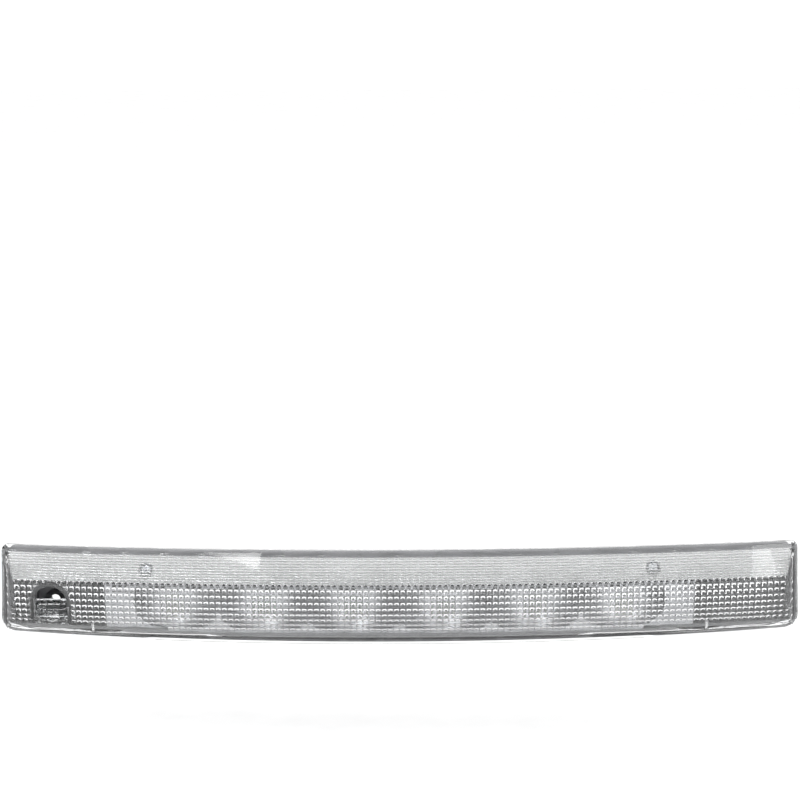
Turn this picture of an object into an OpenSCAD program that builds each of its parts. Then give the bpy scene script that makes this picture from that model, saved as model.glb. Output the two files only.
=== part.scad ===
// High-mounted third brake light for a tailgate.
// The lamp is bowed in plan: its parts are swept about a vertical axis behind it.
// Frame: +X along the lamp, +Y into the vehicle, +Z up. The origin is the middle of the
// line between the two mounting studs, on the face where their seals meet the body panel.

/* [Lamp] */
// Length over the lens flange
lamp_length = 350; // [348:1:352]
// Depth from the front edge to the rear wall, at the middle
lamp_depth = 26.4; // [26:0.1:26.8]
// Radius of the rear wall in plan
rear_radius = 1040; // [1030:5:1060]
// How much lower the bottom edge is at the middle than at the ends
bottom_bow = 2.5; // [2:0.1:3]

/* [Lens] */
// Height of the crease between the upper band and the front face
crease_z = 8; // [7.8:0.1:8.2]
// Upright part of the front face below the crease
front_flat = 3.2; // [3:0.1:3.4]
// Radius of the front face's lower part
front_radius = 31; // [30.5:0.1:31.5]
// Wall thickness of the lens
lens_wall = 1.8; // [1.6:0.1:2]
// How far the flange stands out at the bottom and the ends
flange_lip = 1.5; // [1.3:0.1:1.7]
// Thickness of the flange
flange_thickness = 1.2; // [1:0.1:1.5]
// Corner radius of the flange at the bottom
bottom_corner_r = 6.5; // [6:0.5:7.5]
// Corner radius of the flange at the top
top_corner_r = 3; // [2.5:0.5:4]

/* [Housing] */
// Wall thickness of the housing
housing_wall = 2.2; // [2:0.1:2.4]
// Depth of the housing, up to the joint with the lens
housing_depth = 14; // [13.8:0.1:14.2]

/* [Light source] */
// Distance from one LED to the next
led_pitch = 39.2; // [39:0.1:39.5]
// Height of the LEDs
led_z = -4.6; // [-5:0.1:-4.4]
// Length of the circuit board
board_length = 209; // [208:1:210]

/* [Washer jet tunnel] */
// Place of the tunnel along the lamp
tunnel_x = -152; // [-152.5:0.5:-151.5]
// Half the inner width of the tunnel, and the radius of its arch
tunnel_r = 7.3; // [7.1:0.1:7.4]
// Radius of the bore in the grommet
jet_bore_r = 2.2; // [2:0.1:2.6]

/* [Mounting] */
// Distance between the two studs
stud_spacing = 230; // [229:1:232]
// Radius of a stud
stud_r = 3; // [2.5:0.1:3]
// Radius of the stud's collar, which ends flush with its seal
stud_collar_r = 3.6; // [3.5:0.1:4]
// Length of a stud behind the seating plane
stud_length = 18; // [15:1:25]

/* [Hidden] */
$fn = 48;
eps = 0.01;
root = 1;                // how far a raised feature reaches into the wall it stands on
over = 1;                // how far a cutting shape runs past what it cuts
reach = 60;              // past everything, for cutting shapes
sides = [-1, 1];         // left and right, for what is mirrored about the middle

half = lamp_length / 2;
sweep_angle = 11;        // half the swept angle, past the lamp's ends
sweep_fn = 256;

// Levels, from the seating plane: seals, their pads, then the bowed rear wall.
seal_thickness = 1.5;
seal_r = 7.5;
seal_fit = 0.05;
pad_height = 1.12;
stud_x = stud_spacing / 2;
function sagitta(x, r) = r - sqrt(r * r - x * x);
seat_y = sagitta(stud_x, rear_radius) + pad_height + seal_thickness;
axis_y = rear_radius - seat_y;
// y of a point that lies w in front of the rear wall, at x.
function y_at(x, w) = axis_y - sqrt(pow(rear_radius + w, 2) - x * x);

// Lens section: upper band at 45 degrees, a crease, an upright flat, then an arc.
joint_w = housing_depth;
top_z = crease_z + lamp_depth - joint_w;
arc_z = crease_z - front_flat;
arc_w = lamp_depth - front_radius;
function arc_end(r) = acos((joint_w - arc_w) / r);
bottom_z = arc_z - front_radius * sin(arc_end(front_radius));
arc_steps = 14;
end_slope = 0.32;        // how much the end walls close in per mm towards the front
body_half = half - flange_lip;
top_lip = 0.3;
side_taper = 0.8;        // how much closer in the flange is at the top of each end
lens_rib_x = 134;
lens_rib_width = 0.9;
lens_rib_height = 1.2;
lens_rib_top_z = -11.5;
lens_rib_sink = 0.2;     // how far a rib reaches into the lens's wall

// Outline shared by the flange, the housing, the sealant and the gasket
bottom_arc_r = half * half / (2 * bottom_bow);
bottom_steps = 16;
corner_steps = 6;
corner_blend = 1.5;      // degrees by which a bottom corner stops short of the bowed edge
min_bottom_r = 1;
min_top_r = 0.8;
// Insets are from the flange's edge; a drop is added to the inset at the top, where the
// lens overhangs the housing by more.
housing_inset = 3;
housing_drop = 1.5;
inner_inset = housing_inset + housing_wall;
rim_inset = 1;
rim_drop = 2.7;
rim_thickness = 2.5;
groove_inset = 2;
groove_drop = 2.3;
groove_width = 1.6;
groove_depth = 1.2;
gasket_inset = housing_inset + 0.6;
gasket_width = 4.2;
gasket_thickness = 3.2;

// Ribs on the rear wall
rib_height = 1.8;
rib_thickness = 1.4;
rib_x = [-135, -84, -28, 0, 28, 84, 100, 132];
rib_z = [-10.6, 9.6];
rib_field = [284, 21];   // length and height that the ribs cover

// Circuit board, its screws and the posts that hold the reflector to it
board_back_y = -seat_y - 3.6;
board_thickness = 1.6;
board_front_y = board_back_y - board_thickness;
board_low_z = -14.5;
board_high_z = 13.5;
board_screw_x = [-2 * led_pitch, -led_pitch, led_pitch, 2 * led_pitch];
board_screw_z = 10.5;
board_screw_r = 0.9;
board_screw_head = [2.1, 1.5];
board_screw_length = 5;
board_hole_r = 1.3;
board_boss_r = 3;
pilot_depth = 3.6;
post_x = [-2 * led_pitch, 2 * led_pitch];
post_r = 1.5;
post_hole_r = 1.6;
stake_r = 2.3;
stake_height = 0.8;

// LEDs
led_count = 6;
led_body = 7.6;
led_body_height = 2.8;
led_dome_r = 2.5;
led_dome_sink = 0.4;     // how far the dome's centre lies below the top of the package

// Reflector
reflector_half = 128;
reflector_low_z = -15;
reflector_high_z = 6.3;
reflector_skin = 1.2;
reflector_back_y = board_front_y - 1;
reflector_clear = 3.6;   // from the lens's outer face to the reflector
focal_length = 9;
bowl_depth = 22;
bowl_steps = 12;
bowl_sink = 0.6;         // how far a bowl's lowest point lies behind the reflector's back
end_cell_extra = 12;     // how much wider the two end cells are
led_window = led_body + 0.6;

// Small parts on the board: [width, height] in front view, then how far they stand off it
resistor_size = [3.2, 1.6];
resistor_height = 0.6;
resistor_offset = 8;
resistor_z = 9;
diode_size = [4.4, 2.6];
diode_height = 2;
diode_offset = 8;        // from the middle of the connector
diode_z = 10.5;
regulator_size = [6.5, 3.5];
regulator_height = 1.6;
regulator_x = 26;
regulator_z = 10;
regulator_leg_size = [0.8, 2];
regulator_leg_height = 0.5;
regulator_leg_pitch = 2.3;
regulator_leg_z = 7.6;
capacitor_r = 2.5;
capacitor_height = 4.8;
capacitor_z = 9.6;

// Upper trim
trim_clear = 2.7;        // from the lens's outer face to the trim
trim_skin = 1.4;
trim_low_z = 7.1;
trim_high_z = 16.4;
trim_shelf = 1.2;        // thickness of the shelf along the lower edge
trim_shelf_w = 15;
trim_back_w = joint_w + 0.15;
trim_screw_x = 110;
trim_screw_z = 11.5;
trim_screw_r = 1.1;
trim_screw_head = [2.7, 1.5];
trim_screw_length = 9;
trim_boss_r = 2.4;
trim_seat_w = 16.4;
trim_seat_y = y_at(trim_screw_x, trim_seat_w);
trim_cup_r = 4.2;
trim_cup_bore_r = 3.3;
trim_cup_floor = 2;
trim_hole_r = 1.5;

// Washer jet tunnel
tunnel_wall = 1.7;
tunnel_z = -2.2;         // centre of the arch
tunnel_floor_z = -11;
ramp_low = [y_at(tunnel_x, 22.3), -10.6];
ramp_high = [y_at(tunnel_x, 15), -3.3];
ramp_thickness = 2;
ramp_root = 0.06;        // share of the ramp's run that reaches into the lens's front wall
mouth_depth = 2;         // how far behind the ramp's lower edge the mouth is open below it
jet_z = -6.4;
jet_pad_r = 5.2;
jet_pad_y = [-1.2, 3];
grommet_neck_r = 3.6;
grommet_flange_r = 4.5;
grommet_rear_r = 4.9;
grommet_flange = 1.2;

// Connector
plug_x = 62;
plug_z = 1.6;
plug_size = [17, 12];
plug_fit = 0.1;
plug_wall = 1.5;
plug_pad_size = [24, 18.2];
plug_pad_y = [-10.4, -5.5];
plug_flange = 1.2;
plug_flange_lip = 2;
plug_mouth_y = 6.5;
plug_floor_y = -6.5;
plug_seal_lip = 3;
plug_seal_height = 2.4;
latch_width = 6;
latch_profile = [[-0.5, 0], [4.5, 0], [1, 1.3], [-0.5, 1.3]];
key_size = [1.4, 0.9];
blade_gap = 7;
blade_size = [0.8, 2.8];
blade_fit = 0.2;
blade_tip_y = -0.5;
solder_r = [1.2, 1.9];
solder_height = 0.6;

// Studs: heads moulded into the housing
stud_boss_r = 7;
stud_boss_rise = 0.8;
stud_pad_r = 8;
stud_head_r = 5;
stud_head_height = 4;
stud_head_y = -seat_y + 0.6;
stud_chamfer = 1;

// Vent and locating pin
vent_x = -62;
vent_z = -3;
vent_hole_r = 1.6;
vent_cap_r = 6.5;
vent_cap_wall = 1.3;
vent_cap_height = 3;
vent_cap_chamfer = 1;
vent_cap_hollow = 1.4;
vent_slot_size = [3, 1.2, 1.4];
vent_slot_inset = 2;
vent_slot_angle = 60;
vent_pad_r = 7.7;
vent_pad_root = 2;
vent_seat_y = -6;
membrane_r = 4.5;
membrane_fit = 0.1;
membrane_thickness = 0.4;
membrane_recess = 0.6;
pin_x = 150;
pin_r = 2.5;
pin_length = 8;
pin_chamfer = 0.8;
pin_foot_r = 4.5;
pin_foot_height = 1.2;

// ---------------------------------------------------------------- helpers

// Sweeps a section, given as [distance from the sweep axis, height], along the bow.
module swept() {
    translate([0, axis_y, 0]) rotate([0, 0, -90 - sweep_angle])
        rotate_extrude(angle = 2 * sweep_angle, $fn = sweep_fn) children();
}

// The space from w = a to w = b in front of the rear wall.
module swept_slab(a, b) {
    swept() translate([rear_radius + a, -reach / 2]) square([b - a, reach]);
}

// Cylinder along Y between two y values.
module rod_y(x, z, r, y0, y1, r_end = undef) {
    translate([x, y0, z]) rotate([-90, 0, 0])
        cylinder(h = y1 - y0, r1 = r, r2 = is_undef(r_end) ? r : r_end);
}

// Rod along Y with a chamfered end, as one revolved profile.
module tipped_rod_y(x, z, r, y0, y1, chamfer) {
    length = y1 - y0;
    translate([x, y0, z]) rotate([-90, 0, 0]) rotate_extrude()
        polygon([[0, 0], [r, 0], [r, length - chamfer], [r - chamfer, length], [0, length]]);
}

// Box given by its middle in x and z, its size there, and two y values.
module block_y(x, z, size, y0, y1) {
    translate([x - size[0] / 2, y0, z - size[1] / 2]) cube([size[0], y1 - y0, size[1]]);
}

// Points of an arc about [cx, cz], from angle a0 to angle a1.
function corner(cx, cz, r, a0, a1) =
    [for (i = [0 : corner_steps]) let (a = a0 + (a1 - a0) * i / corner_steps)
        [cx + r * cos(a), cz + r * sin(a)]];

// Height of the flange's bottom edge, an arc that is lowest at the middle.
function bottom_edge(x) = bottom_z - flange_lip + sagitta(x, bottom_arc_r);

// Front outline: the flange's edge moved in by inset, and by drop more at the top.
module outline(inset, drop = 0) {
    hx = half - inset;
    high = top_z + top_lip - inset - drop;
    rb = max(bottom_corner_r - inset, min_bottom_r);
    rt = max(top_corner_r - inset, min_top_r);
    low_corner = bottom_edge(hx) + inset + rb;
    polygon(concat(
        corner(hx - rb, low_corner, rb, 0, -90 + corner_blend),
        [for (i = [1 : bottom_steps - 1]) let (x = (hx - rb) * (1 - 2 * i / bottom_steps))
            [x, bottom_edge(x) + inset]],
        corner(-hx + rb, low_corner, rb, -90 - corner_blend, -180),
        corner(-hx + side_taper + rt, high - rt, rt, 180, 90),
        corner(hx - side_taper - rt, high - rt, rt, 90, 0)
    ));
}

module outline_prism(inset, drop = 0) {
    translate([0, reach, 0]) rotate([90, 0, 0]) linear_extrude(2 * reach)
        outline(inset, drop);
}

// Slab of the lamp's own outline.
module outline_slab(inset, a, b, drop = 0) {
    intersection() {
        swept_slab(a, b);
        outline_prism(inset, drop);
    }
}

// Section of the space inside the lens's outer face, moved in by inset, from w = back on.
module lens_section(inset, back) {
    r = front_radius - inset;
    high = lamp_depth + crease_z - inset * sqrt(2);
    end = arc_end(r);
    translate([rear_radius, 0]) polygon(concat(
        [[back, high - joint_w], [joint_w, high - joint_w],
         [lamp_depth - inset, high - lamp_depth + inset]],
        [for (i = [0 : arc_steps]) let (a = end * i / arc_steps)
            [arc_w + r * cos(a), arc_z - r * sin(a)]],
        [[back, arc_z - r * sin(end)]]
    ));
}

// Block between the planes of the lens's sloping end walls, moved in by inset.
module end_wedge(inset) {
    side = inset * sqrt(1 + end_slope * end_slope);
    joint_y = y_at(body_half, joint_w);
    function end_x(y) = body_half - side + end_slope * (y - joint_y);
    translate([0, 0, -reach / 2]) linear_extrude(reach) polygon([
        [-end_x(-reach), -reach], [end_x(-reach), -reach],
        [end_x(reach / 2), reach / 2], [-end_x(reach / 2), reach / 2]]);
}

// The space inside the lens's outer face and end walls, moved in by inset.
module lens_space(inset, back = joint_w) {
    intersection() {
        swept() lens_section(inset, back);
        outline_prism(flange_lip + inset - (inset > 0 ? 0 : eps));
        end_wedge(inset);
    }
}

// Arched section of the washer jet tunnel, extruded along Y.
module tunnel_bar(grow, y0, y1) {
    r = tunnel_r + grow;
    rod_y(tunnel_x, tunnel_z, r, y0, y1);
    translate([tunnel_x - r, y0, tunnel_floor_z - grow])
        cube([2 * r, y1 - y0, tunnel_z - tunnel_floor_z + grow]);
}

// ---------------------------------------------------------------- lens and seals

// Sloping plate across the tunnel's mouth, which sheds water and hides the grommet.
module tunnel_ramp() {
    run = ramp_high - ramp_low;
    back = ramp_thickness * [run[1], -run[0]] / norm(run);
    low = ramp_low - run * ramp_root;
    translate([tunnel_x - tunnel_r - eps, 0, 0]) rotate([90, 0, 90])
        linear_extrude(2 * tunnel_r + 2 * eps)
            polygon([low, ramp_high, ramp_high + back, low + back]);
}

// Two small upright ribs on the inside, in the clear strip at the bottom.
module lens_ribs() {
    difference() {
        intersection() {
            lens_space(lens_wall - lens_rib_sink);
            for (s = sides)
                translate([s * lens_rib_x - lens_rib_width / 2, -reach, lens_rib_top_z - reach])
                    cube([lens_rib_width, 2 * reach, reach]);
        }
        lens_space(lens_wall + lens_rib_height, joint_w - over);
    }
}

module outer_lens() color([0.92, 0.94, 0.95, 0.45]) {
    difference() {
        union() {
            lens_ribs();
            difference() {
                union() {
                    lens_space(0);
                    outline_slab(0, joint_w, joint_w + flange_thickness);
                }
                lens_space(lens_wall, joint_w - over);
            }
            intersection() {
                lens_space(0);
                tunnel_bar(tunnel_wall, -reach, reach);
            }
        }
        difference() {
            tunnel_bar(0, -reach, reach);
            tunnel_ramp();
            // the front wall stays below the ramp
            translate([-half, -reach, -reach / 2])
                cube([lamp_length, reach + ramp_low[0] + mouth_depth, reach / 2 + ramp_low[1]]);
        }
    }
}

module lens_sealant() color([0.12, 0.12, 0.12]) {
    difference() {
        outline_slab(groove_inset, joint_w - groove_depth, joint_w, groove_drop);
        outline_prism(groove_inset + groove_width, groove_drop);
    }
}

module perimeter_gasket() color([0.08, 0.08, 0.085]) {
    difference() {
        outline_slab(gasket_inset, -gasket_thickness, 0, housing_drop);
        outline_prism(gasket_inset + gasket_width, housing_drop);
    }
}

// ---------------------------------------------------------------- housing

// Stiffening ribs on the outside of the rear wall.
module rear_ribs() {
    difference() {
        intersection() {
            swept_slab(-rib_height, root / 2);
            union() {
                for (x = rib_x) block_y(x, 0, [rib_thickness, rib_field[1]], -reach, reach);
                for (z = rib_z) block_y(0, z, [rib_field[0], rib_thickness], -reach, reach);
            }
        }
        block_y(plug_x, plug_z, plug_pad_size, -reach, reach);
    }
}

// Bosses on the inside, for the studs and the screws.
module inner_bosses() {
    for (s = sides) {
        rod_y(s * stud_x, 0, stud_boss_r, -seat_y - stud_boss_rise, y_at(stud_x, root));
        rod_y(s * trim_screw_x, trim_screw_z, trim_boss_r, trim_seat_y + trim_cup_floor,
              y_at(trim_screw_x, root));
    }
    for (x = board_screw_x)
        rod_y(x, board_screw_z, board_boss_r, board_back_y, y_at(x, root));
}

// Flat pads on the rear wall.
module rear_pads() {
    for (s = sides) rod_y(s * stud_x, 0, stud_pad_r, y_at(stud_x, root), -seal_thickness);
    block_y(plug_x, plug_z, plug_pad_size, plug_pad_y[0], plug_pad_y[1]);
    rod_y(vent_x, vent_z, vent_pad_r, y_at(vent_x, vent_pad_root), vent_seat_y);
    rod_y(tunnel_x, jet_z, jet_pad_r, jet_pad_y[0], jet_pad_y[1]);
}

module locating_pin() {
    wall_y = y_at(pin_x, 0);
    tipped_rod_y(pin_x, 0, pin_r, y_at(pin_x, root), wall_y + pin_length, pin_chamfer);
    rod_y(pin_x, 0, pin_foot_r, y_at(pin_x, root), wall_y + pin_foot_height);
}

// Bores for the sealant, the grommet, the connector, the vent and the fasteners.
module housing_cuts() {
    difference() {
        outline_slab(groove_inset, joint_w - groove_depth, joint_w + over, groove_drop);
        outline_prism(groove_inset + groove_width, groove_drop);
    }
    tunnel_bar(0, -reach, jet_pad_y[0]);
    rod_y(tunnel_x, jet_z, grommet_neck_r, jet_pad_y[0] - over, jet_pad_y[1] + over);
    block_y(plug_x, plug_z, plug_size + [plug_fit, plug_fit], -reach, reach / 2);
    rod_y(vent_x, vent_z, vent_hole_r, -reach / 2, reach / 2);
    rod_y(vent_x, vent_z, membrane_r + membrane_fit, vent_seat_y - membrane_recess,
          vent_seat_y + over);
    for (s = sides) {
        stud(s * stud_x);
        rod_y(s * trim_screw_x, trim_screw_z, trim_screw_r, trim_seat_y - over,
              trim_seat_y + trim_screw_length + over);
    }
    for (x = board_screw_x)
        rod_y(x, board_screw_z, board_screw_r, board_back_y - over, board_back_y + pilot_depth);
}

module housing() color([0.13, 0.13, 0.14]) {
    difference() {
        union() {
            difference() {
                union() {
                    outline_slab(housing_inset, 0, joint_w, housing_drop);
                    outline_slab(rim_inset, joint_w - rim_thickness, joint_w, rim_drop);
                }
                outline_slab(inner_inset, housing_wall, joint_w + over, housing_drop);
            }
            intersection() {
                tunnel_bar(tunnel_wall, -reach, reach);
                outline_slab(housing_inset, 0, joint_w, housing_drop);
            }
            inner_bosses();
            rear_pads();
            rear_ribs();
            locating_pin();
        }
        housing_cuts();
    }
}

// ---------------------------------------------------------------- optics

// Pale panel close behind the upper band, with a shelf below, returns along the lens's
// end walls and two screw cups.
module upper_trim() color([0.82, 0.83, 0.84]) {
    back = lamp_depth + crease_z - (trim_clear + trim_skin) * sqrt(2);
    shelf_z = trim_low_z + trim_shelf;
    difference() {
        intersection() {
            union() {
                swept() translate([rear_radius, 0]) polygon([
                    [lamp_depth, trim_low_z - over], [lamp_depth, trim_high_z + over],
                    [trim_back_w, trim_high_z + over], [trim_back_w, back - trim_back_w],
                    [back - shelf_z, shelf_z], [trim_shelf_w, shelf_z],
                    [trim_shelf_w, trim_low_z - over]]);
                for (s = sides)
                    rod_y(s * trim_screw_x, trim_screw_z, trim_cup_r, -reach,
                          trim_seat_y + trim_cup_floor);
                difference() {
                    swept_slab(trim_back_w, lamp_depth);
                    end_wedge(trim_clear + trim_skin);
                }
            }
            swept() lens_section(trim_clear, 0);
            end_wedge(trim_clear);
            translate([-half, -reach, trim_low_z])
                cube([lamp_length, 2 * reach, trim_high_z - trim_low_z]);
        }
        for (s = sides) {
            rod_y(s * trim_screw_x, trim_screw_z, trim_cup_bore_r, -reach, trim_seat_y);
            rod_y(s * trim_screw_x, trim_screw_z, trim_hole_r, -reach, 0);
        }
    }
}

// A parabolic bowl around an LED, opening towards the front.
module bowl(x) {
    radius = sqrt(4 * focal_length * bowl_depth);
    translate([x, reflector_back_y - bowl_sink, led_z]) rotate([90, 0, 0])
        rotate_extrude() polygon(concat(
            [for (i = [0 : bowl_steps]) let (r = radius * i / bowl_steps)
                [r, r * r / (4 * focal_length)]],
            [[0, bowl_depth]]));
}

function led_x(i) = (i - (led_count - 1) / 2) * led_pitch;

// One cell of the reflector, with the window for its LED; the end cells are wider.
module reflector_cell(i) {
    low = reflector_low_z + reflector_skin;
    high = reflector_high_z - reflector_skin;
    extra = i == 0 || i == led_count - 1 ? end_cell_extra : eps;
    shift = sign(led_x(i)) * (extra > eps ? extra / 2 : 0);
    intersection() {
        bowl(led_x(i));
        block_y(led_x(i) + shift, (low + high) / 2, [led_pitch + extra, high - low], -reach, 0);
    }
    block_y(led_x(i), led_z, [led_window, led_window], -reach / 2, 0);
}

module reflector() color([0.86, 0.87, 0.88]) {
    difference() {
        intersection() {
            swept() lens_section(reflector_clear, 0);
            translate([-reflector_half, -reach, reflector_low_z])
                cube([2 * reflector_half, reach + reflector_back_y,
                      reflector_high_z - reflector_low_z]);
        }
        for (i = [0 : led_count - 1]) reflector_cell(i);
    }
    for (x = post_x) {
        rod_y(x, led_z, post_r, reflector_back_y - bowl_sink / 2, board_back_y + stake_height / 2);
        rod_y(x, led_z, stake_r, board_back_y + eps, board_back_y + stake_height);
    }
}

// ---------------------------------------------------------------- electrics

module circuit_board() color([0.06, 0.3, 0.16]) {
    difference() {
        block_y(0, (board_low_z + board_high_z) / 2, [board_length, board_high_z - board_low_z],
                board_front_y, board_back_y);
        for (x = board_screw_x) rod_y(x, board_screw_z, board_hole_r, -reach, 0);
        for (x = post_x) rod_y(x, led_z, post_hole_r, -reach, 0);
        for (s = sides)
            block_y(plug_x + s * blade_gap / 2, plug_z, blade_size + [blade_fit, blade_fit],
                    -reach, 0);
    }
}

// A part that stands on the front of the board.
module board_part(x, z, size, height) {
    block_y(x, z, size, board_front_y - height, board_front_y);
}

module led_bodies() color([0.9, 0.9, 0.86]) {
    for (i = [0 : led_count - 1])
        board_part(led_x(i), led_z, [led_body, led_body], led_body_height);
}

module led_domes() color([0.85, 0.2, 0.2]) {
    base_y = board_front_y - led_body_height;
    for (i = [0 : led_count - 1])
        intersection() {
            translate([led_x(i), base_y + led_dome_sink, led_z]) sphere(r = led_dome_r);
            block_y(led_x(i), led_z, [led_body, led_body], base_y - led_body, base_y);
        }
}

// Chip resistors in a row above the reflector, one beside each LED.
module resistors() color([0.07, 0.07, 0.08]) {
    for (i = [0 : led_count - 1])
        board_part(led_x(i) - resistor_offset * sign(led_x(i)), resistor_z, resistor_size,
                   resistor_height);
}

module polarity_diode() color([0.08, 0.08, 0.08]) {
    board_part(plug_x + diode_offset, diode_z, diode_size, diode_height);
}

module voltage_regulator() color([0.1, 0.1, 0.1]) {
    board_part(regulator_x, regulator_z, regulator_size, regulator_height);
    for (i = [-1 : 1])
        board_part(regulator_x + regulator_leg_pitch * i, regulator_leg_z, regulator_leg_size,
                   regulator_leg_height);
}

module smoothing_capacitor() color([0.75, 0.76, 0.78]) {
    rod_y(0, capacitor_z, capacitor_r, board_front_y - capacitor_height, board_front_y);
}

module terminal_blades() color([0.78, 0.72, 0.5]) {
    for (s = sides)
        block_y(plug_x + s * blade_gap / 2, plug_z, blade_size, board_front_y - solder_height,
                blade_tip_y);
}

module solder_joints() color([0.7, 0.71, 0.73]) {
    for (s = sides)
        difference() {
            rod_y(plug_x + s * blade_gap / 2, plug_z, solder_r[0], board_front_y - solder_height,
                  board_front_y, solder_r[1]);
            block_y(plug_x + s * blade_gap / 2, plug_z, blade_size, -reach, 0);
        }
}

module connector_socket() color([0.12, 0.12, 0.13]) {
    inner = plug_size - 2 * [plug_wall, plug_wall];
    front_y = plug_pad_y[0] - plug_flange;
    difference() {
        union() {
            block_y(plug_x, plug_z, plug_size, front_y, plug_mouth_y);
            block_y(plug_x, plug_z, plug_size + 2 * [plug_flange_lip, plug_flange_lip], front_y,
                    plug_pad_y[0]);
            // latch ramp for the plug's clip
            translate([plug_x - latch_width / 2, 0, plug_z + plug_size[1] / 2 - eps])
                rotate([90, 0, 90]) linear_extrude(latch_width) polygon(latch_profile);
        }
        block_y(plug_x, plug_z, inner, plug_floor_y, reach / 2);
        for (s = sides)
            block_y(plug_x + s * blade_gap / 2, plug_z, blade_size, -reach, reach / 2);
    }
    // polarising key inside the mouth
    block_y(plug_x, plug_z - (inner[1] - key_size[1]) / 2, key_size + [0, eps],
            plug_floor_y - eps, plug_mouth_y - over);
}

module connector_seal() color([0.55, 0.12, 0.1]) {
    difference() {
        block_y(plug_x, plug_z, plug_size + 2 * [plug_seal_lip, plug_seal_lip], plug_pad_y[1],
                plug_pad_y[1] + plug_seal_height);
        block_y(plug_x, plug_z, plug_size, -reach / 2, reach / 2);
    }
}

// ---------------------------------------------------------------- fasteners and fittings

// Stud with a hexagonal head, a collar and a chamfered end; the head is moulded in.
module stud(x) {
    tipped_rod_y(x, 0, stud_r, stud_head_y, stud_length, stud_chamfer);
    rod_y(x, 0, stud_collar_r, stud_head_y, 0);
    translate([x, stud_head_y, 0]) rotate([-90, 30, 0])
        cylinder(h = stud_head_height, r = stud_head_r, $fn = 6);
}

module mounting_studs() color([0.72, 0.73, 0.75]) {
    for (s = sides) stud(s * stud_x);
}

module stud_seals() color([0.1, 0.1, 0.1]) {
    for (s = sides)
        difference() {
            rod_y(s * stud_x, 0, seal_r, -seal_thickness, 0);
            rod_y(s * stud_x, 0, stud_collar_r + seal_fit, -reach / 2, reach / 2);
        }
}

module jet_grommet() color([0.09, 0.09, 0.09]) {
    difference() {
        union() {
            rod_y(tunnel_x, jet_z, grommet_neck_r, jet_pad_y[0], jet_pad_y[1]);
            rod_y(tunnel_x, jet_z, grommet_flange_r, jet_pad_y[0] - grommet_flange,
                  jet_pad_y[0]);
            rod_y(tunnel_x, jet_z, grommet_rear_r, jet_pad_y[1], jet_pad_y[1] + grommet_flange);
        }
        rod_y(tunnel_x, jet_z, jet_bore_r, -reach / 2, reach / 2);
    }
}

// Pan head screw along Y: its head's seat is at y, and its shank points towards +Y.
// The head is given as [radius, height].
module pan_screw(x, z, y, head, shank_r, length) {
    recess = [1.1 * head[0], 0.5];
    recess_floor = 0.45;
    top_taper = 0.72;
    tip = 1;
    recess_y = y - recess_floor * head[1];
    top_y = y - head[1];
    difference() {
        rod_y(x, z, top_taper * head[0], top_y, y, head[0]);
        block_y(x, z, recess, top_y - over, recess_y);
        block_y(x, z, [recess[1], recess[0]], top_y - over, recess_y);
    }
    rod_y(x, z, shank_r, y, y + length - tip);
    rod_y(x, z, shank_r, y + length - tip, y + length, shank_r / 4);
}

module board_screws() color([0.75, 0.75, 0.77]) {
    for (x = board_screw_x)
        pan_screw(x, board_screw_z, board_front_y, board_screw_head, board_screw_r,
                  board_screw_length);
}

module trim_screws() color([0.75, 0.75, 0.77]) {
    for (s = sides)
        pan_screw(s * trim_screw_x, trim_screw_z, trim_seat_y, trim_screw_head, trim_screw_r,
                  trim_screw_length);
}

module vent_cap() color([0.2, 0.2, 0.21]) {
    shoulder_y = vent_seat_y + vent_cap_height - vent_cap_chamfer;
    difference() {
        union() {
            rod_y(vent_x, vent_z, vent_cap_r, vent_seat_y, shoulder_y);
            rod_y(vent_x, vent_z, vent_cap_r, shoulder_y, vent_seat_y + vent_cap_height,
                  vent_cap_r - vent_cap_chamfer);
        }
        rod_y(vent_x, vent_z, vent_cap_r - vent_cap_wall, vent_seat_y - over,
              vent_seat_y + vent_cap_hollow);
        for (a = [0 : vent_slot_angle : 360 - vent_slot_angle])
            translate([vent_x, 0, vent_z]) rotate([0, a, 0])
                translate([vent_cap_r - vent_slot_inset, vent_seat_y - eps,
                           -vent_slot_size[2] / 2])
                    cube(vent_slot_size);
    }
}

module vent_membrane() color([0.93, 0.93, 0.9]) {
    rod_y(vent_x, vent_z, membrane_r, vent_seat_y - membrane_recess,
          vent_seat_y - membrane_recess + membrane_thickness);
}

outer_lens();
lens_sealant();
housing();
upper_trim();
reflector();
circuit_board();
led_bodies();
led_domes();
resistors();
polarity_diode();
voltage_regulator();
smoothing_capacitor();
terminal_blades();
solder_joints();
connector_socket();
connector_seal();
mounting_studs();
stud_seals();
perimeter_gasket();
jet_grommet();
board_screws();
trim_screws();
vent_cap();
vent_membrane();
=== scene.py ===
import math

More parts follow.
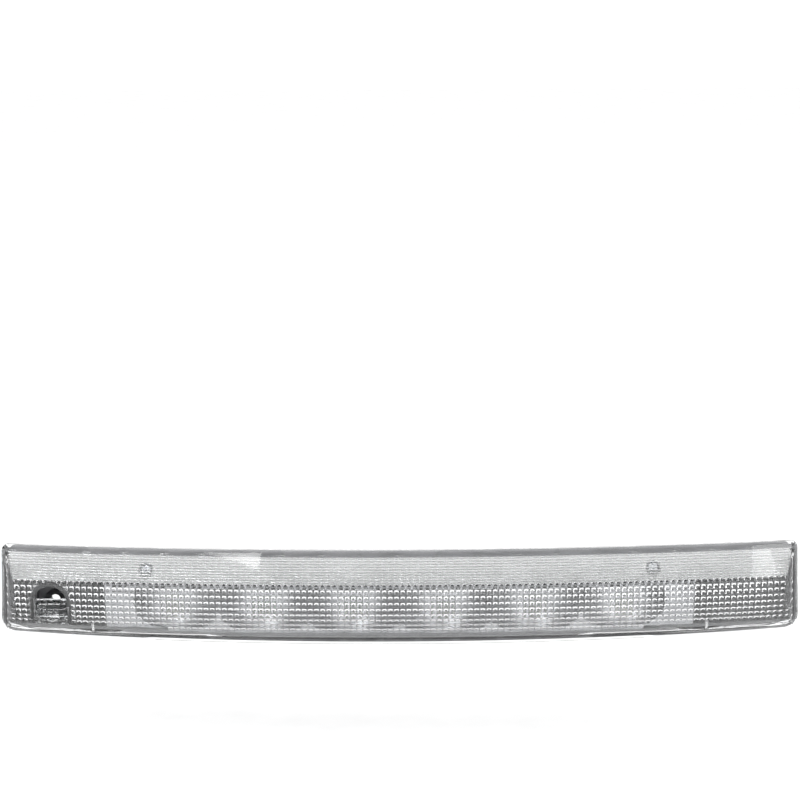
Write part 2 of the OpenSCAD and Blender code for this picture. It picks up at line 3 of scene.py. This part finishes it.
import bmesh
import bpy
import numpy as np
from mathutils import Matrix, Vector


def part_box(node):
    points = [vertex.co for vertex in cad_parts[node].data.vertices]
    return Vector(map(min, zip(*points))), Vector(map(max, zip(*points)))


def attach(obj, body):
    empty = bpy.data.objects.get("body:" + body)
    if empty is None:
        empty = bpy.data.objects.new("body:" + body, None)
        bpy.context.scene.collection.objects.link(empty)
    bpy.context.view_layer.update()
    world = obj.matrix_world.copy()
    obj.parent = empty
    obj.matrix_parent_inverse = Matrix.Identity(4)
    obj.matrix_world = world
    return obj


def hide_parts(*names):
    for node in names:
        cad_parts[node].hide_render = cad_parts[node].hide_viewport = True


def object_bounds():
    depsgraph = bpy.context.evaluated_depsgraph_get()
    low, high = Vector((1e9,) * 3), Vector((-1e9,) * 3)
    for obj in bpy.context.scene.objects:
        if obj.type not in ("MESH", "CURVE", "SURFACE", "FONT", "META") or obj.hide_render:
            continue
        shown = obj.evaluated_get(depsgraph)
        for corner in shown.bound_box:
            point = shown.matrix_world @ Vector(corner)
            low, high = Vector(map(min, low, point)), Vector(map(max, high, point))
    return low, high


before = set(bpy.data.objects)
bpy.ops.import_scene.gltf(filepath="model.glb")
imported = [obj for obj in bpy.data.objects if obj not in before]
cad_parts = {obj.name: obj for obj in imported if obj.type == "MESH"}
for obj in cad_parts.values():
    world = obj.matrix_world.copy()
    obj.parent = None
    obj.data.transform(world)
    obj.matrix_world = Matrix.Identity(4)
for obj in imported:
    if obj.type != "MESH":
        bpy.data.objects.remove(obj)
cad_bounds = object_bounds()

# ------------------------------------------------------------------ driving dimensions, in metres
MM = 0.001
REAR_RADIUS = 1040 * MM        # plan radius of the rear wall
LAMP_DEPTH = 26.4 * MM         # rear wall to the front edge, at the middle
CREASE_Z = 8 * MM              # height of the lens's crease
FRONT_FLAT = 3.2 * MM          # upright part of the front face
FRONT_RADIUS = 31 * MM         # radius of the front face's lower part
LENS_WALL = 1.8 * MM
END_SLOPE = 0.32               # how much the end walls close in towards the front
JOINT_W = 14 * MM              # from the rear wall to the joint of lens and housing
FLANGE_LIP = 1.5 * MM
TUNNEL_WALL = 1.7 * MM
TUNNEL_R = 7.3 * MM
TUNNEL_Z = -2.2 * MM           # centre of the tunnel's arch
TUNNEL_FLOOR_Z = -11 * MM
RAMP_LOW = (22.3 * MM, -10.6 * MM)   # lower edge of the tunnel's ramp: w, z
RAMP_HIGH = (15 * MM, -3.3 * MM)
RAMP_THICKNESS = 2 * MM

PRISM_PITCH = 2.66 * MM        # width of one prism cell
UPPER_ROWS = 11
UPPER_RELIEF = 0.62 * MM
UPPER_WAVE = 0.13              # waviness of the upper rows, in rows
LOWER_ROW = 2.83 * MM          # height of one lower row
LOWER_ROWS = 9
LOWER_FIRST = 0.36             # the crease cuts this much off the first lower row, in rows
LAST_ROW_X = (-101 * MM, 106 * MM)   # from where to where the last lower row runs
LOWER_RELIEF = 1.4 * MM
END_RELIEF = 0.5 * MM          # flutes on the end walls
END_ROWS = 12
RAMP_RELIEF = 0.9 * MM
RAMP_ROWS = 4
CELL_STEPS = 5                 # mesh steps across one cell
ROW_STEPS = 6                  # mesh steps along one row
EMBED = 0.8 * MM               # how deep a prism plate sits in the lens's wall
LEVEL = 0.02 * MM              # how far a prism plate's lowest points stand off the wall

WELD = 1e-7                    # CAD vertices closer than this are one
SMOOTH_ANGLE = 28              # the lens's edges up to this many degrees are shaded smooth
ARC_POINTS = 15                # on the front face's arc
ARCH_POINTS = 33               # on the tunnel's arch
RAMP_COLUMNS = 6 * CELL_STEPS
SWEEP_STATIONS = 48
SWEEP_MARGIN = 2 * MM          # how far a swept tool runs past the lamp's ends
PAST_FRONT = -60 * MM          # y in front of the whole lamp, for cutting shapes
PAST_BACK = 40 * MM            # y behind it
PAST_HEIGHT = 40 * MM          # above and below it
FLUTE_SPAN = (-10 * MM, 55 * MM)    # w - z from one end of an end wall's flute to the other

lens_low, lens_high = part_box("outer_lens")
HALF = lens_high.x
AXIS_Y = lens_low.y + REAR_RADIUS + LAMP_DEPTH
grommet_low, grommet_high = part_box("jet_grommet")
TUNNEL_X = (grommet_low.x + grommet_high.x) / 2


def bow_point(x, w, z):
    """The point at x, lying w in front of the bowed rear wall."""
    return (x, AXIS_Y - math.sqrt((REAR_RADIUS + w) ** 2 - x * x), z)


# ------------------------------------------------------------------ mesh helpers

def add_object(name, mesh):
    obj = bpy.data.objects.new(name, mesh)
    bpy.context.scene.collection.objects.link(obj)
    return obj


def grid_solid(name, front, back):
    """Closed solid between two grids of points of the same size."""
    rows, columns = len(front), len(front[0])
    points = [p for grid in (front, back) for line in grid for p in line]
    offset = rows * columns

    def at(i, j, side):
        return side * offset + i * columns + j

    faces = []
    for i in range(rows - 1):
        for j in range(columns - 1):
            faces.append((at(i, j, 0), at(i, j + 1, 0), at(i + 1, j + 1, 0), at(i + 1, j, 0)))
            faces.append((at(i, j, 1), at(i + 1, j, 1), at(i + 1, j + 1, 1), at(i, j + 1, 1)))
    for i in range(rows - 1):
        for j in (0, columns - 1):
            a, b = (i, i + 1) if j else (i + 1, i)
            faces.append((at(a, j, 0), at(a, j, 1), at(b, j, 1), at(b, j, 0)))
    for j in range(columns - 1):
        for i in (0, rows - 1):
            a, b = (j + 1, j) if i else (j, j + 1)
            faces.append((at(i, a, 0), at(i, a, 1), at(i, b, 1), at(i, b, 0)))
    mesh = bpy.data.meshes.new(name)
    mesh.from_pydata(points, [], faces)
    obj = add_object(name, mesh)
    recalculate_normals(obj)
    return obj


def recalculate_normals(obj):
    bm = bmesh.new()
    bm.from_mesh(obj.data)
    bmesh.ops.triangulate(bm, faces=bm.faces)
    bmesh.ops.recalc_face_normals(bm, faces=bm.faces)
    bm.to_mesh(obj.data)
    bm.free()


def closed_copy(node, name):
    """Copy of a CAD node with its split vertices joined."""
    obj = add_object(name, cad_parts[node].data.copy())
    bm = bmesh.new()
    bm.from_mesh(obj.data)
    bmesh.ops.remove_doubles(bm, verts=bm.verts, dist=WELD)
    bm.to_mesh(obj.data)
    bm.free()
    return obj


def combine(obj, tool, operation):
    """Applies a boolean of tool to obj, and removes tool."""
    modifier = obj.modifiers.new("combine", "BOOLEAN")
    modifier.operation = operation
    modifier.solver = "MANIFOLD"
    modifier.object = tool
    graph = bpy.context.evaluated_depsgraph_get()
    mesh = bpy.data.meshes.new_from_object(obj.evaluated_get(graph))
    obj.modifiers.clear()
    obj.data = mesh
    bpy.data.objects.remove(tool)


def extruded(name, outline, axis, low, high):
    """Prism of a closed outline; outline points are in the two axes other than axis."""
    def place(p, t):
        point = list(p)
        point.insert(axis, t)
        return point
    count = len(outline)
    points = [place(p, t) for t in (low, high) for p in outline]
    faces = [tuple(range(count)), tuple(range(count, 2 * count))]
    faces += [(i, (i + 1) % count, (i + 1) % count + count, i + count) for i in range(count)]
    mesh = bpy.data.meshes.new(name)
    mesh.from_pydata(points, [], faces)
    obj = add_object(name, mesh)
    recalculate_normals(obj)
    return obj


def shade_smooth_by_angle(obj, degrees):
    obj.data.polygons.foreach_set("use_smooth", [True] * len(obj.data.polygons))
    obj.data.set_sharp_from_angle(angle=math.radians(degrees))


# ------------------------------------------------------------------ materials

RAMP_RANGE = (0.35, 0.65)      # the part of a noise's range that a colour runs over
SPREAD_RANGE = (0.3, 0.7)      # and that a number runs over
MOTTLE = (60, 5)               # scale and detail of the noise that varies a colour
GLOSS = (220, 4)               # and of the one that varies a roughness
GRAIN_DETAIL = 2
ACRYLIC_GLOSS = (90, 3)
ACRYLIC_ROUGHNESS = (0.01, 0.045)
ACRYLIC_WAVES = (45, 2)        # scale and detail of the lens's slight unevenness
ACRYLIC_WAVE_HEIGHT = 0.006 * MM


class Nodes:
    """Short way to add and link shader nodes in one material."""

    def __init__(self, name):
        self.material = bpy.data.materials.new(name)
        self.material.use_nodes = True
        self.tree = self.material.node_tree
        self.shader = self.tree.nodes["Principled BSDF"]
        coordinates = self.tree.nodes.new("ShaderNodeTexCoord")
        self.place = coordinates.outputs["Object"]

    def noise(self, scale, detail):
        node = self.tree.nodes.new("ShaderNodeTexNoise")
        node.inputs["Scale"].default_value = scale
        node.inputs["Detail"].default_value = detail
        self.tree.links.new(self.place, node.inputs["Vector"])
        return node.outputs["Fac"]

    def ramp(self, value, dark, light):
        """Colour that runs from dark to light over the middle of a noise's range."""
        node = self.tree.nodes.new("ShaderNodeValToRGB")
        for element, position, color in zip(node.color_ramp.elements, RAMP_RANGE, (dark, light)):
            element.position = position
            element.color = (*color, 1)
        self.tree.links.new(value, node.inputs["Fac"])
        return node.outputs["Color"]

    def spread(self, value, low, high):
        """Number that runs from low to high over the middle of a noise's range."""
        node = self.tree.nodes.new("ShaderNodeMapRange")
        node.inputs["From Min"].default_value = SPREAD_RANGE[0]
        node.inputs["From Max"].default_value = SPREAD_RANGE[1]
        node.inputs["To Min"].default_value = low
        node.inputs["To Max"].default_value = high
        self.tree.links.new(value, node.inputs["Value"])
        return node.outputs["Result"]

    def bump(self, value, height):
        node = self.tree.nodes.new("ShaderNodeBump")
        node.inputs["Distance"].default_value = height
        self.tree.links.new(value, node.inputs["Height"])
        return node.outputs["Normal"]

    def link(self, output, socket):
        self.tree.links.new(output, self.shader.inputs[socket])

    def set(self, **sockets):
        for name, value in sockets.items():
            self.shader.inputs[name.replace("_", " ")].default_value = value


def moulded(name, dark, light, roughness, grain=2500, grain_height=0.02 * MM, metallic=0.0):
    """Moulded or plated surface: slight mottling, uneven gloss and a fine grain."""
    nodes = Nodes(name)
    nodes.link(nodes.ramp(nodes.noise(*MOTTLE), dark, light), "Base Color")
    nodes.link(nodes.spread(nodes.noise(*GLOSS), *roughness), "Roughness")
    nodes.link(nodes.bump(nodes.noise(grain, GRAIN_DETAIL), grain_height), "Normal")
    nodes.set(Metallic=metallic)
    return nodes.material


def clear_plastic():
    nodes = Nodes("clear_acrylic")
    nodes.set(Base_Color=(0.96, 0.97, 0.975, 1), IOR=1.49, Transmission_Weight=1.0)
    nodes.link(nodes.spread(nodes.noise(*ACRYLIC_GLOSS), *ACRYLIC_ROUGHNESS), "Roughness")
    nodes.link(nodes.bump(nodes.noise(*ACRYLIC_WAVES), ACRYLIC_WAVE_HEIGHT), "Normal")
    return nodes.material


# ------------------------------------------------------------------ lens

def column_positions():
    """x of the mesh columns, with whole cells counted from the middle of the lamp."""
    cells = math.ceil(HALF / PRISM_PITCH)
    steps = 2 * cells * CELL_STEPS
    return [-cells * PRISM_PITCH + PRISM_PITCH * i / CELL_STEPS for i in range(steps + 1)]


def dome(t):
    """Height of a rounded ridge across one cell, 0 at its edges and 1 at its middle."""
    f = t - math.floor(t)
    return 1 - (2 * f - 1) ** 2


def pillow(across, along):
    """Height of a pillow prism: a ridge along the row, notched between one cell and the next."""
    return dome(along) * (0.1 + 0.9 * dome(across))


def lens_section(inset):
    """Points (w, z) of the lens's section, moved in by inset."""
    radius = FRONT_RADIUS - inset
    arc_w = LAMP_DEPTH - FRONT_RADIUS
    arc_z = CREASE_Z - FRONT_FLAT
    high = LAMP_DEPTH + CREASE_Z - inset * math.sqrt(2)
    end = math.acos((JOINT_W - arc_w) / radius)
    arc = [(arc_w + radius * math.cos(a), arc_z - radius * math.sin(a))
           for a in np.linspace(0, end, ARC_POINTS)]
    return [(JOINT_W, high - JOINT_W), (LAMP_DEPTH - inset, high - LAMP_DEPTH + inset)] + arc


def swept_prism(name, section):
    """Solid of a section of (w, z) points, swept along the bow past the lamp's ends."""
    count = len(section)
    last = (SWEEP_STATIONS - 1) * count
    stations = np.linspace(-HALF - SWEEP_MARGIN, HALF + SWEEP_MARGIN, SWEEP_STATIONS)
    points = [bow_point(x, w, z) for x in stations for w, z in section]
    faces = [tuple(range(count)), tuple(range(last, last + count))]
    for i in range(SWEEP_STATIONS - 1):
        for j in range(count):
            a, b = i * count + j, i * count + (j + 1) % count
            faces.append((a, b, b + count, a + count))
    mesh = bpy.data.meshes.new(name)
    mesh.from_pydata(points, [], faces)
    obj = add_object(name, mesh)
    recalculate_normals(obj)
    return obj


def upper_plate():
    """Fine wavy ridges behind the upper band."""
    slope = math.sqrt(0.5)
    front_sum = LAMP_DEPTH + CREASE_Z - LENS_WALL / slope
    crease_w = LAMP_DEPTH - LENS_WALL
    start = np.array([crease_w, front_sum - crease_w])
    length = (crease_w - JOINT_W) / slope
    row = length / UPPER_ROWS
    inward = np.array([-slope, -slope])
    upward = np.array([-slope, slope])
    front, back = [], []
    for k in range(UPPER_ROWS * ROW_STEPS + 1):
        v = k / ROW_STEPS
        line_front, line_back = [], []
        for x in column_positions():
            wave = UPPER_WAVE * math.cos(2 * math.pi * x / PRISM_PITCH)
            wave *= min(1, v, UPPER_ROWS - v) if 0 < v < UPPER_ROWS else 0
            height = LEVEL + UPPER_RELIEF * dome(v)
            base = start + upward * row * (v + wave)
            line_front.append(bow_point(x, *(base + inward * height)))
            line_back.append(bow_point(x, *(base - inward * EMBED)))
        front.append(line_front)
        back.append(line_back)
    return grid_solid("upper_plate", front, back)


def lower_plate():
    """Larger pillow prisms behind the front face."""
    radius = FRONT_RADIUS - LENS_WALL
    arc_w = LAMP_DEPTH - FRONT_RADIUS
    arc_z = CREASE_Z - FRONT_FLAT
    top_z = CREASE_Z - LENS_WALL * (math.sqrt(2) - 1)
    flat = top_z - arc_z
    front, back = [], []
    for v in np.linspace(LOWER_FIRST, LOWER_ROWS, LOWER_ROWS * ROW_STEPS + 1):
        s = (v - LOWER_FIRST) * LOWER_ROW
        if s < flat:
            base = np.array([LAMP_DEPTH - LENS_WALL, top_z - s])
            inward = np.array([-1.0, 0.0])
        else:
            angle = (s - flat) / radius
            inward = np.array([-math.cos(angle), math.sin(angle)])
            base = np.array([arc_w, arc_z]) - inward * radius
        line_front, line_back = [], []
        for x in column_positions():
            height = LEVEL
            if v < LOWER_ROWS - 1 or LAST_ROW_X[0] < x < LAST_ROW_X[1]:
                height += LOWER_RELIEF * pillow(x / PRISM_PITCH, v)
            line_front.append(bow_point(x, *(base + inward * height)))
            line_back.append(bow_point(x, *(base - inward * EMBED)))
        front.append(line_front)
        back.append(line_back)
    return grid_solid("lower_plate", front, back)


def end_wall_x(y, inset):
    """How far from the middle an end wall stands at y, moved in by inset."""
    joint_y = bow_point(HALF - FLANGE_LIP, JOINT_W, 0)[1]
    return HALF - FLANGE_LIP - inset * math.hypot(1, END_SLOPE) + END_SLOPE * (y - joint_y)


def end_wedge(inset):
    """Block whose ends follow the lens's sloping end walls, moved in by inset."""
    corners = ((-1, PAST_FRONT), (1, PAST_FRONT), (1, PAST_BACK), (-1, PAST_BACK))
    outline = [(side * end_wall_x(y, inset), y) for side, y in corners]
    return extruded("wedge", outline, 2, -PAST_HEIGHT, PAST_HEIGHT)


def end_plate(side):
    """Flutes on the inside of an end wall, parallel to the slope of the upper band."""
    top = LAMP_DEPTH + CREASE_Z - LENS_WALL * math.sqrt(2)
    row = PRISM_PITCH * math.sqrt(2)
    front, back = [], []
    for k in range(END_ROWS * ROW_STEPS + 1):
        total = top - row * k / ROW_STEPS
        height = LEVEL + END_RELIEF * dome(k / ROW_STEPS)
        line_front, line_back = [], []
        for difference in FLUTE_SPAN:
            w, z = (total + difference) / 2, (total - difference) / 2
            y = bow_point(HALF - LENS_WALL, w, z)[1]
            x = end_wall_x(y, LENS_WALL)
            line_front.append((side * (x - height), y, z))
            line_back.append((side * (x + EMBED), y, z))
        front.append(line_front)
        back.append(line_back)
    return grid_solid("end_plate", front, back)


def ramp_plate():
    """Pillow prisms behind the ramp that crosses the tunnel's mouth."""
    low = np.array(bow_point(TUNNEL_X, *RAMP_LOW)[1:])
    high = np.array(bow_point(TUNNEL_X, *RAMP_HIGH)[1:])
    run = high - low
    inward = np.array([run[1], -run[0]]) / np.linalg.norm(run)
    cells = 2 * TUNNEL_R / PRISM_PITCH
    columns = [TUNNEL_X + PRISM_PITCH * t
               for t in np.linspace(-cells / 2, cells / 2, RAMP_COLUMNS)]
    front, back = [], []
    for k in range(RAMP_ROWS * ROW_STEPS + 1):
        v = k / ROW_STEPS
        base = low + run * v / RAMP_ROWS + inward * RAMP_THICKNESS
        line_front, line_back = [], []
        for x in columns:
            height = LEVEL + RAMP_RELIEF * pillow(x / PRISM_PITCH, v)
            line_front.append((x, *(base + inward * height)))
            line_back.append((x, *(base - inward * EMBED)))
        front.append(line_front)
        back.append(line_back)
    return grid_solid("ramp_plate", front, back)


def tunnel_bar(grow):
    """Arched bar along the washer jet tunnel and past both of its ends."""
    r = TUNNEL_R + grow
    floor = TUNNEL_FLOOR_Z - grow
    arch = [(TUNNEL_X + r * math.cos(a), TUNNEL_Z + r * math.sin(a))
            for a in np.linspace(0, math.pi, ARCH_POINTS)]
    outline = arch + [(TUNNEL_X - r, floor), (TUNNEL_X + r, floor)]
    return extruded("tunnel", outline, 1, PAST_FRONT, PAST_BACK)


def make_lens():
    lens = closed_copy("outer_lens", "prismatic_lens")
    field = [upper_plate(), lower_plate()]
    ends = [end_plate(-1), end_plate(1)]
    for plate in field:
        combine(plate, end_wedge(LENS_WALL - EMBED), "INTERSECT")
    for plate in ends:
        combine(plate, swept_prism("inside", lens_section(LENS_WALL - EMBED)), "INTERSECT")
    for plate in field + ends:
        combine(plate, tunnel_bar(TUNNEL_WALL / 2), "DIFFERENCE")
        combine(lens, plate, "UNION")
    combine(lens, ramp_plate(), "UNION")
    shade_smooth_by_angle(lens, SMOOTH_ANGLE)
    lens.data.materials.clear()
    lens.data.materials.append(clear_plastic())
    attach(lens, "root")
    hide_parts("outer_lens")


# ------------------------------------------------------------------ CAD nodes' materials

def dress_nodes():
    grey = ((0.15, 0.15, 0.155), (0.20, 0.20, 0.208))
    black = ((0.012, 0.012, 0.013), (0.028, 0.028, 0.030))
    steel = ((0.52, 0.53, 0.55), (0.70, 0.71, 0.73))
    finishes = {
        "housing": moulded("housing_grain", *grey, (0.38, 0.55)),
        "lens_sealant": moulded("sealant_bead", *black, (0.35, 0.55), 900, 0.05 * MM),
        "upper_trim": moulded("pale_trim", (0.74, 0.735, 0.73), (0.82, 0.815, 0.81), (0.25, 0.4)),
        "reflector": moulded("metallised", (0.34, 0.34, 0.35), (0.42, 0.42, 0.43),
                             (0.12, 0.26), 400, 0.01 * MM, 1.0),
        "circuit_board": moulded("solder_mask", (0.01, 0.10, 0.04), (0.02, 0.16, 0.07),
                                 (0.2, 0.4), 1200),
        "led_bodies": moulded("led_package", (0.56, 0.56, 0.55), (0.66, 0.66, 0.65), (0.4, 0.6)),
        "led_domes": moulded("led_silicone", (0.60, 0.59, 0.55), (0.70, 0.69, 0.65), (0.1, 0.2)),
        "resistors": moulded("chip_glaze", *black, (0.2, 0.35)),
        "polarity_diode": moulded("diode_epoxy", *black, (0.45, 0.65)),
        "voltage_regulator": moulded("regulator_epoxy", *black, (0.45, 0.65)),
        "smoothing_capacitor": moulded("drawn_can", *steel, (0.22, 0.34), 900, 0.01 * MM, 1.0),
        "terminal_blades": moulded("tinned_brass", (0.62, 0.57, 0.42), (0.76, 0.71, 0.56),
                                   (0.2, 0.38), 700, 0.01 * MM, 1.0),
        "solder_joints": moulded("solder", *steel, (0.12, 0.3), 600, 0.02 * MM, 1.0),
        "connector_socket": moulded("socket_plastic", *black, (0.4, 0.55)),
        "connector_seal": moulded("silicone_seal", (0.30, 0.03, 0.02), (0.40, 0.05, 0.035),
                                  (0.4, 0.6), 1200),
        "mounting_studs": moulded("zinc_plate", *steel, (0.22, 0.42), 1500, 0.01 * MM, 1.0),
        "stud_seals": moulded("seal_rubber", *black, (0.5, 0.75), 1500),
        "perimeter_gasket": moulded("foam_skin", (0.018, 0.018, 0.020), (0.045, 0.045, 0.048),
                                    (0.8, 0.95), 1400, 0.12 * MM),
        "jet_grommet": moulded("grommet_rubber", *black, (0.5, 0.7), 1500),
        "board_screws": moulded("board_screw_zinc", *steel, (0.22, 0.42), 1500, 0.01 * MM, 1.0),
        "trim_screws": moulded("trim_screw_zinc", *steel, (0.22, 0.42), 1500, 0.01 * MM, 1.0),
        "vent_cap": moulded("vent_plastic", *black, (0.4, 0.55)),
        "vent_membrane": moulded("membrane", (0.78, 0.78, 0.75), (0.86, 0.86, 0.83),
                                 (0.8, 0.95), 3000),
    }
    for node, material in finishes.items():
        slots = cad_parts[node].data.materials
        slots.clear()
        slots.append(material)


# ------------------------------------------------------------------ stage

CAMERA_LENS = 140
SENSOR = 36
FRAMED_WIDTH = 0.34845         # width of the view at the lamp
CAMERA_CLIP = 0.01
CAMERA_X = 1.8 * MM
CAMERA_ELEVATION = math.radians(15)
CAMERA_PITCH = math.radians(3.598)
CAMERA_ROLL = math.radians(0.27)

# The room is bright all round, but dark high up in front of the lamp.
DARK_FRONT = (-0.85, -0.45)    # y of the directions at which the dark is full, and gone
DARK_ABOVE = (0.2, 0.35)       # z of the directions at which the dark is gone, and full
STUDIO_LEVELS = (1.15, 0.1)    # brightness all round, and in the dark
FLOOR_DROP = 60 * MM           # from the lamp's lowest point to the floor
FLOOR_HALF = 3.0               # half the floor's side


def make_camera():
    camera = bpy.data.objects.new("camera", bpy.data.cameras.new("camera"))
    bpy.context.scene.collection.objects.link(camera)
    camera.data.lens = CAMERA_LENS
    camera.data.sensor_width = SENSOR
    camera.data.clip_start = CAMERA_CLIP
    distance = FRAMED_WIDTH * CAMERA_LENS / SENSOR
    target = Vector((CAMERA_X, bow_point(0, JOINT_W, 0)[1], 0))
    back = Vector((0, -math.cos(CAMERA_ELEVATION), math.sin(CAMERA_ELEVATION)))
    camera.location = target + back * distance
    camera.rotation_mode = "XYZ"
    camera.rotation_euler = (math.pi / 2 - CAMERA_ELEVATION + CAMERA_PITCH, CAMERA_ROLL, 0)
    bpy.context.scene.camera = camera


def area_light(name, location, size, power):
    """Rectangular light that shines at the lamp."""
    light = bpy.data.lights.new(name, "AREA")
    light.shape = "RECTANGLE"
    light.size, light.size_y = size
    light.energy = power
    obj = bpy.data.objects.new(name, light)
    obj.location = location
    obj.rotation_euler = (-Vector(location)).to_track_quat("-Z", "Y").to_euler()
    bpy.context.scene.collection.objects.link(obj)


def make_stage():
    bpy.context.scene.view_settings.view_transform = "Standard"
    world = bpy.data.worlds.new("studio")
    bpy.context.scene.world = world
    world.use_nodes = True
    tree = world.node_tree
    coordinates = tree.nodes.new("ShaderNodeTexCoord")
    split = tree.nodes.new("ShaderNodeSeparateXYZ")
    tree.links.new(coordinates.outputs["Generated"], split.inputs["Vector"])

    def fade(output, start, end, low, high):
        node = tree.nodes.new("ShaderNodeMapRange")
        node.inputs["From Min"].default_value = start
        node.inputs["From Max"].default_value = end
        node.inputs["To Min"].default_value = low
        node.inputs["To Max"].default_value = high
        tree.links.new(output, node.inputs["Value"])
        return node.outputs["Result"]

    dark = tree.nodes.new("ShaderNodeMath")
    dark.operation = "MULTIPLY"
    tree.links.new(fade(split.outputs["Y"], *DARK_FRONT, 1, 0), dark.inputs[0])
    tree.links.new(fade(split.outputs["Z"], *DARK_ABOVE, 0, 1), dark.inputs[1])
    level = fade(dark.outputs["Value"], 0, 1, *STUDIO_LEVELS)
    tree.links.new(level, tree.nodes["Background"].inputs["Strength"])
    tree.nodes["Background"].inputs["Color"].default_value = (1, 1, 1, 1)
    floor_z = cad_bounds[0][2] - FLOOR_DROP
    corners = ((-1, -1), (1, -1), (1, 1), (-1, 1))
    mesh = bpy.data.meshes.new("floor")
    mesh.from_pydata([(FLOOR_HALF * x, FLOOR_HALF * y, floor_z) for x, y in corners], [],
                     [(0, 1, 2, 3)])
    floor = add_object("floor", mesh)
    floor.data.materials.append(moulded("pale_paper", (0.93, 0.93, 0.93), (0.96, 0.96, 0.96),
                                        (0.7, 0.9), 300))
    area_light("key", (-0.5, -0.9, 0.9), size=(0.7, 0.5), power=8)
    area_light("fill", (0.8, -0.7, 0.5), size=(0.6, 0.6), power=4)


make_camera()
make_stage()
make_lens()
dress_nodes()
